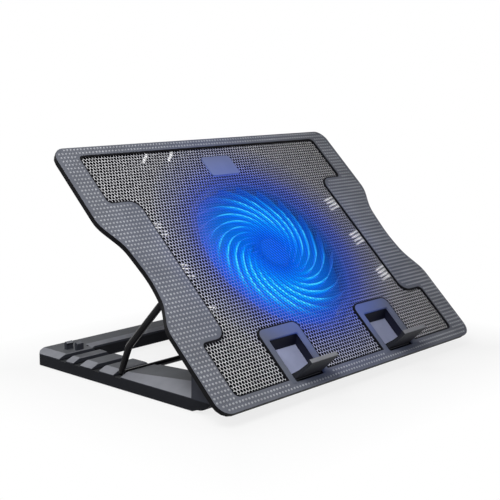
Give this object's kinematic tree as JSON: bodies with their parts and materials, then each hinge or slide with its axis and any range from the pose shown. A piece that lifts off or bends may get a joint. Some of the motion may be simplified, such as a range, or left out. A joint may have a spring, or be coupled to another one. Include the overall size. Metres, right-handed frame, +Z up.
{
  "type": "laptop cooling pad",
  "caption": "Tilting laptop cooling pad: a mesh deck over a flat fan, hinged to an open base, held up by a bent wire prop in notched rails, with flip-up stops.",
  "frame": {"origin": "on the table, under the middle of the whole object's box at rest", "axes": "+X to the user's right along the hinge line, +Y back from the front edge, +Z up"},
  "size_m": [0.386, 0.2734, 0.2127],
  "materials": {
    "bezel_grey": "moulded grey plastic with a fine raised dot texture",
    "shell_black": "satin black moulded plastic",
    "base_grey": "dark grey moulded plastic, lightly grained",
    "mesh_metal": "perforated sheet with a silver-grey coat",
    "rotor_blue": "clear blue plastic lit from its rim",
    "fan_black": "black moulded plastic",
    "steel": "plain bright steel",
    "prop_black": "gloss black coated wire",
    "rubber": "matte black rubber",
    "board_green": "green circuit board",
    "led_blue": "clear blue lens",
    "iron": "dark motor iron",
    "bronze": "sintered bronze"
  },
  "bodies": {
    "base": {"base_frame": "base_grey", "rubber_foot_front_left": "rubber", "rubber_foot_front_right": "rubber", "rubber_foot_rear_left": "rubber", "rubber_foot_rear_right": "rubber", "hinge_pin_left": "steel", "hinge_pin_right": "steel"},
    "deck": {"deck_bezel": "bezel_grey", "mesh_panel": "mesh_metal", "name_plate": "fan_black", "bottom_shell": "shell_black", "fan_housing": "shell_black", "hinge_bracket_left": "shell_black", "hinge_bracket_right": "shell_black", "socket_housing": "shell_black", "screw_1": "steel", "screw_2": "steel", "screw_3": "steel", "screw_4": "steel", "screw_5": "steel", "screw_6": "steel", "usb_socket_left": "steel", "usb_socket_right": "steel", "usb_circuit_board": "board_green", "stop_tray_left": "shell_black", "stop_tray_right": "shell_black", "stop_pin_left": "steel", "stop_pin_right": "steel", "fan_frame": "fan_black", "led_1": "led_blue", "led_2": "led_blue", "led_3": "led_blue", "led_4": "led_blue", "stator_core": "iron", "bearing_sleeve": "bronze", "fan_circuit_board": "board_green", "prop_bracket_left": "shell_black", "prop_bracket_right": "shell_black"},
    "prop": {"prop_bar": "prop_black"},
    "stop_left": {"stop_flap_left": "bezel_grey"},
    "stop_right": {"stop_flap_right": "bezel_grey"},
    "rotor": {"fan_rotor": "rotor_blue", "rotor_shaft": "steel", "magnet_ring": "iron"}
  },
  "joints": [
    {"name": "deck_tilt", "type": "hinge", "parent": "base", "child": "deck", "pos_m": [0, -0.07915, 0.0176], "axis": [1, 0, 0], "range_deg": [0, 12]},
    {"name": "prop_swing", "type": "hinge", "parent": "deck", "child": "prop", "pos_m": [0, -0.03422, 0.08756], "axis": [1, 0, 0], "range_deg": [0, 86]},
    {"name": "stop_left_flip", "type": "hinge", "parent": "deck", "child": "stop_left", "pos_m": [-0.0704, -0.11463, 0.01911], "axis": [1, 0, 0], "range_deg": [-90, 0]},
    {"name": "stop_right_flip", "type": "hinge", "parent": "deck", "child": "stop_right", "pos_m": [0.0704, -0.11463, 0.01911], "axis": [1, 0, 0], "range_deg": [-90, 0]},
    {"name": "fan_spin", "type": "hinge", "parent": "deck", "child": "rotor", "pos_m": [0, -0.02339, 0.11466], "axis": [0, -0.6939, 0.7201], "continuous": true}
  ]
}
